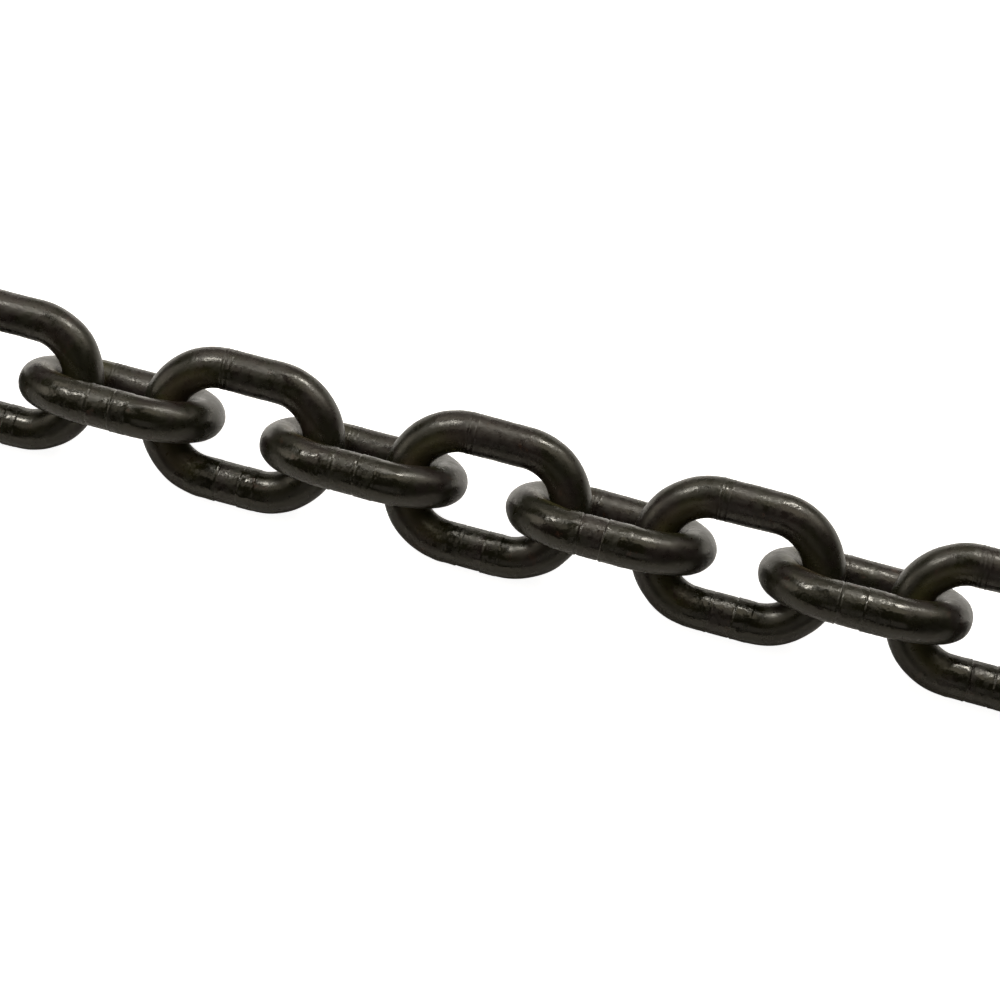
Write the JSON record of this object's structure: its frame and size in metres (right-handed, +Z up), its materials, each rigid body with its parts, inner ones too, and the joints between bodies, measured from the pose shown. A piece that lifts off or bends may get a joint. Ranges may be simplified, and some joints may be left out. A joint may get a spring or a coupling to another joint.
{
  "type": "short-link alloy steel chain",
  "caption": "Length of dark heavy-duty short-link chain laid out straight; round-bar oval links hinge in one another, leaning to either side in turn.",
  "frame": {"origin": "on the floor under the middle of the chain", "axes": "+X along the chain, +Z up; the odd-numbered links lean so that their tops go towards +Y"},
  "size_m": [1.0012, 0.0374, 0.0373],
  "materials": {
    "chain_steel": "thin dark tempering scale and oil on hot-formed steel, semi-gloss, finely pitted"
  },
  "bodies": {
    "link_01": {"link_01": "chain_steel"},
    "link_02": {"link_02": "chain_steel"},
    "link_03": {"link_03": "chain_steel"},
    "link_04": {"link_04": "chain_steel"},
    "link_05": {"link_05": "chain_steel"},
    "link_06": {"link_06": "chain_steel"},
    "link_07": {"link_07": "chain_steel"},
    "link_08": {"link_08": "chain_steel"},
    "link_09": {"link_09": "chain_steel"},
    "link_10": {"link_10": "chain_steel"},
    "link_11": {"link_11": "chain_steel"},
    "link_12": {"link_12": "chain_steel"},
    "link_13": {"link_13": "chain_steel"},
    "link_14": {"link_14": "chain_steel"},
    "link_15": {"link_15": "chain_steel"},
    "link_16": {"link_16": "chain_steel"},
    "link_17": {"link_17": "chain_steel"},
    "link_18": {"link_18": "chain_steel"},
    "link_19": {"link_19": "chain_steel"},
    "link_20": {"link_20": "chain_steel"},
    "link_21": {"link_21": "chain_steel"},
    "link_22": {"link_22": "chain_steel"},
    "link_23": {"link_23": "chain_steel"},
    "link_24": {"link_24": "chain_steel"},
    "link_25": {"link_25": "chain_steel"}
  },
  "joints": [
    {"name": "hinge_13_14", "type": "hinge", "parent": "link_13", "child": "link_14", "pos_m": [0.02615, 0, 0.01865], "axis": [0, 0.7071, 0.7071], "range_deg": [-90, 90]},
    {"name": "hinge_14_15", "type": "hinge", "parent": "link_14", "child": "link_15", "pos_m": [0.06515, 0, 0.01865], "axis": [0, 0.7071, -0.7071], "range_deg": [-90, 90]},
    {"name": "hinge_15_16", "type": "hinge", "parent": "link_15", "child": "link_16", "pos_m": [0.10415, 0, 0.01865], "axis": [0, -0.7071, -0.7071], "range_deg": [-90, 90]},
    {"name": "hinge_16_17", "type": "hinge", "parent": "link_16", "child": "link_17", "pos_m": [0.14315, 0, 0.01865], "axis": [0, -0.7071, 0.7071], "range_deg": [-90, 90]},
    {"name": "hinge_17_18", "type": "hinge", "parent": "link_17", "child": "link_18", "pos_m": [0.18215, 0, 0.01865], "axis": [0, 0.7071, 0.7071], "range_deg": [-90, 90]},
    {"name": "hinge_18_19", "type": "hinge", "parent": "link_18", "child": "link_19", "pos_m": [0.22115, 0, 0.01865], "axis": [0, 0.7071, -0.7071], "range_deg": [-90, 90]},
    {"name": "hinge_19_20", "type": "hinge", "parent": "link_19", "child": "link_20", "pos_m": [0.26015, 0, 0.01865], "axis": [0, -0.7071, -0.7071], "range_deg": [-90, 90]},
    {"name": "hinge_20_21", "type": "hinge", "parent": "link_20", "child": "link_21", "pos_m": [0.29915, 0, 0.01865], "axis": [0, -0.7071, 0.7071], "range_deg": [-90, 90]},
    {"name": "hinge_21_22", "type": "hinge", "parent": "link_21", "child": "link_22", "pos_m": [0.33815, 0, 0.01865], "axis": [0, 0.7071, 0.7071], "range_deg": [-90, 90]},
    {"name": "hinge_22_23", "type": "hinge", "parent": "link_22", "child": "link_23", "pos_m": [0.37715, 0, 0.01865], "axis": [0, 0.7071, -0.7071], "range_deg": [-90, 90]},
    {"name": "hinge_23_24", "type": "hinge", "parent": "link_23", "child": "link_24", "pos_m": [0.41615, 0, 0.01865], "axis": [0, -0.7071, -0.7071], "range_deg": [-90, 90]},
    {"name": "hinge_24_25", "type": "hinge", "parent": "link_24", "child": "link_25", "pos_m": [0.45515, 0, 0.01865], "axis": [0, -0.7071, 0.7071], "range_deg": [-90, 90]},
    {"name": "hinge_12_13", "type": "hinge", "parent": "link_13", "child": "link_12", "pos_m": [-0.02615, 0, 0.01865], "axis": [0, 0.7071, 0.7071], "range_deg": [-90, 90]},
    {"name": "hinge_11_12", "type": "hinge", "parent": "link_12", "child": "link_11", "pos_m": [-0.06515, 0, 0.01865], "axis": [0, 0.7071, -0.7071], "range_deg": [-90, 90]},
    {"name": "hinge_10_11", "type": "hinge", "parent": "link_11", "child": "link_10", "pos_m": [-0.10415, 0, 0.01865], "axis": [0, -0.7071, -0.7071], "range_deg": [-90, 90]},
    {"name": "hinge_09_10", "type": "hinge", "parent": "link_10", "child": "link_09", "pos_m": [-0.14315, 0, 0.01865], "axis": [0, -0.7071, 0.7071], "range_deg": [-90, 90]},
    {"name": "hinge_08_09", "type": "hinge", "parent": "link_09", "child": "link_08", "pos_m": [-0.18215, 0, 0.01865], "axis": [0, 0.7071, 0.7071], "range_deg": [-90, 90]},
    {"name": "hinge_07_08", "type": "hinge", "parent": "link_08", "child": "link_07", "pos_m": [-0.22115, 0, 0.01865], "axis": [0, 0.7071, -0.7071], "range_deg": [-90, 90]},
    {"name": "hinge_06_07", "type": "hinge", "parent": "link_07", "child": "link_06", "pos_m": [-0.26015, 0, 0.01865], "axis": [0, -0.7071, -0.7071], "range_deg": [-90, 90]},
    {"name": "hinge_05_06", "type": "hinge", "parent": "link_06", "child": "link_05", "pos_m": [-0.29915, 0, 0.01865], "axis": [0, -0.7071, 0.7071], "range_deg": [-90, 90]},
    {"name": "hinge_04_05", "type": "hinge", "parent": "link_05", "child": "link_04", "pos_m": [-0.33815, 0, 0.01865], "axis": [0, 0.7071, 0.7071], "range_deg": [-90, 90]},
    {"name": "hinge_03_04", "type": "hinge", "parent": "link_04", "child": "link_03", "pos_m": [-0.37715, 0, 0.01865], "axis": [0, 0.7071, -0.7071], "range_deg": [-90, 90]},
    {"name": "hinge_02_03", "type": "hinge", "parent": "link_03", "child": "link_02", "pos_m": [-0.41615, 0, 0.01865], "axis": [0, -0.7071, -0.7071], "range_deg": [-90, 90]},
    {"name": "hinge_01_02", "type": "hinge", "parent": "link_02", "child": "link_01", "pos_m": [-0.45515, 0, 0.01865], "axis": [0, -0.7071, 0.7071], "range_deg": [-90, 90]}
  ]
}
